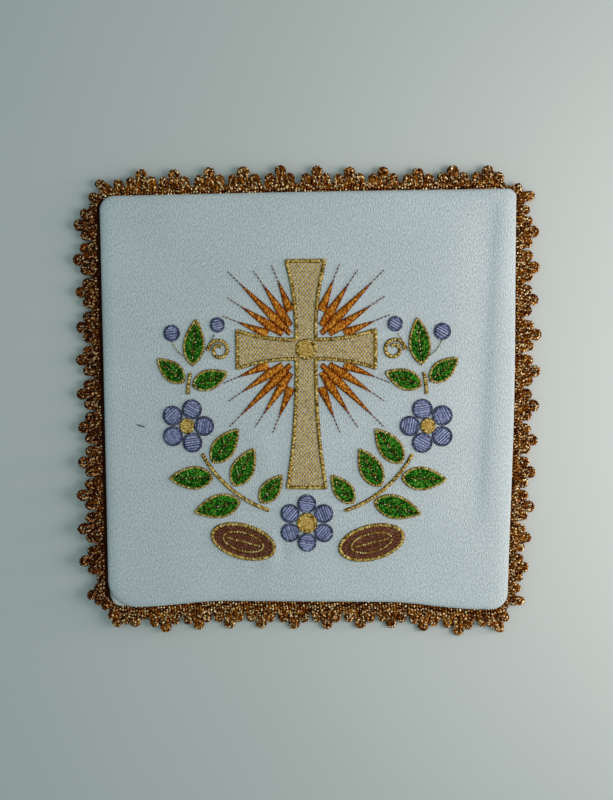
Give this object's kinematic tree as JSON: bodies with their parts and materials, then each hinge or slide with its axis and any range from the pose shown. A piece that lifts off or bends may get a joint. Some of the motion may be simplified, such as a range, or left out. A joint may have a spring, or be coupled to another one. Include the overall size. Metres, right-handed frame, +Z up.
{
  "type": "chalice pall",
  "caption": "Flat stiffened square of white cloth with rounded corners, a gold metallic scalloped lace edging and a raised embroidered emblem.",
  "frame": {"origin": "on the resting face, under the middle of the whole outline with its lace", "axes": "+Z up out of the embroidered face, +Y towards the emblem's top, +X to its right"},
  "size_m": [0.18, 0.1834, 0.0058],
  "materials": {
    "white_cloth": "plain woven polyester-cotton, soft matt with a faint sheen",
    "back_cloth": "plain woven white lining cloth, matt",
    "gold_lace": "metallic gimp lace in antique gold, glittering",
    "gold_thread": "metallic gold embroidery thread",
    "orange_thread": "lustrous orange embroidery thread",
    "green_thread": "glittering green embroidery thread",
    "violet_thread": "satin violet embroidery thread",
    "brown_thread": "matt dark brown embroidery thread"
  },
  "bodies": {
    "root": {"back_panel": "back_cloth", "blossom_1": "violet_thread", "blossom_2": "violet_thread", "blossom_3": "violet_thread", "branch_1_left": "gold_thread", "branch_1_right": "gold_thread", "branch_2_left": "gold_thread", "branch_2_right": "gold_thread", "bud_1_left": "violet_thread", "bud_1_right": "violet_thread", "bud_2_left": "violet_thread", "bud_2_right": "violet_thread", "cross": "gold_thread", "front_panel": "white_cloth", "lace_trim": "gold_lace", "leaf_1_left": "green_thread", "leaf_1_right": "green_thread", "leaf_2_left": "green_thread", "leaf_2_right": "green_thread", "leaf_3_left": "green_thread", "leaf_3_right": "green_thread", "leaf_4_left": "green_thread", "leaf_4_right": "green_thread", "leaf_5_left": "green_thread", "leaf_5_right": "green_thread", "leaf_6_left": "green_thread", "leaf_6_right": "green_thread", "leaf_7_left": "green_thread", "leaf_7_right": "green_thread", "leaf_8_left": "green_thread", "leaf_8_right": "green_thread", "pod_left": "brown_thread", "pod_right": "brown_thread", "rays_lower_left": "orange_thread", "rays_lower_right": "orange_thread", "rays_upper_left": "orange_thread", "rays_upper_right": "orange_thread", "tendril_left": "gold_thread", "tendril_right": "gold_thread"}
  },
  "joints": []
}
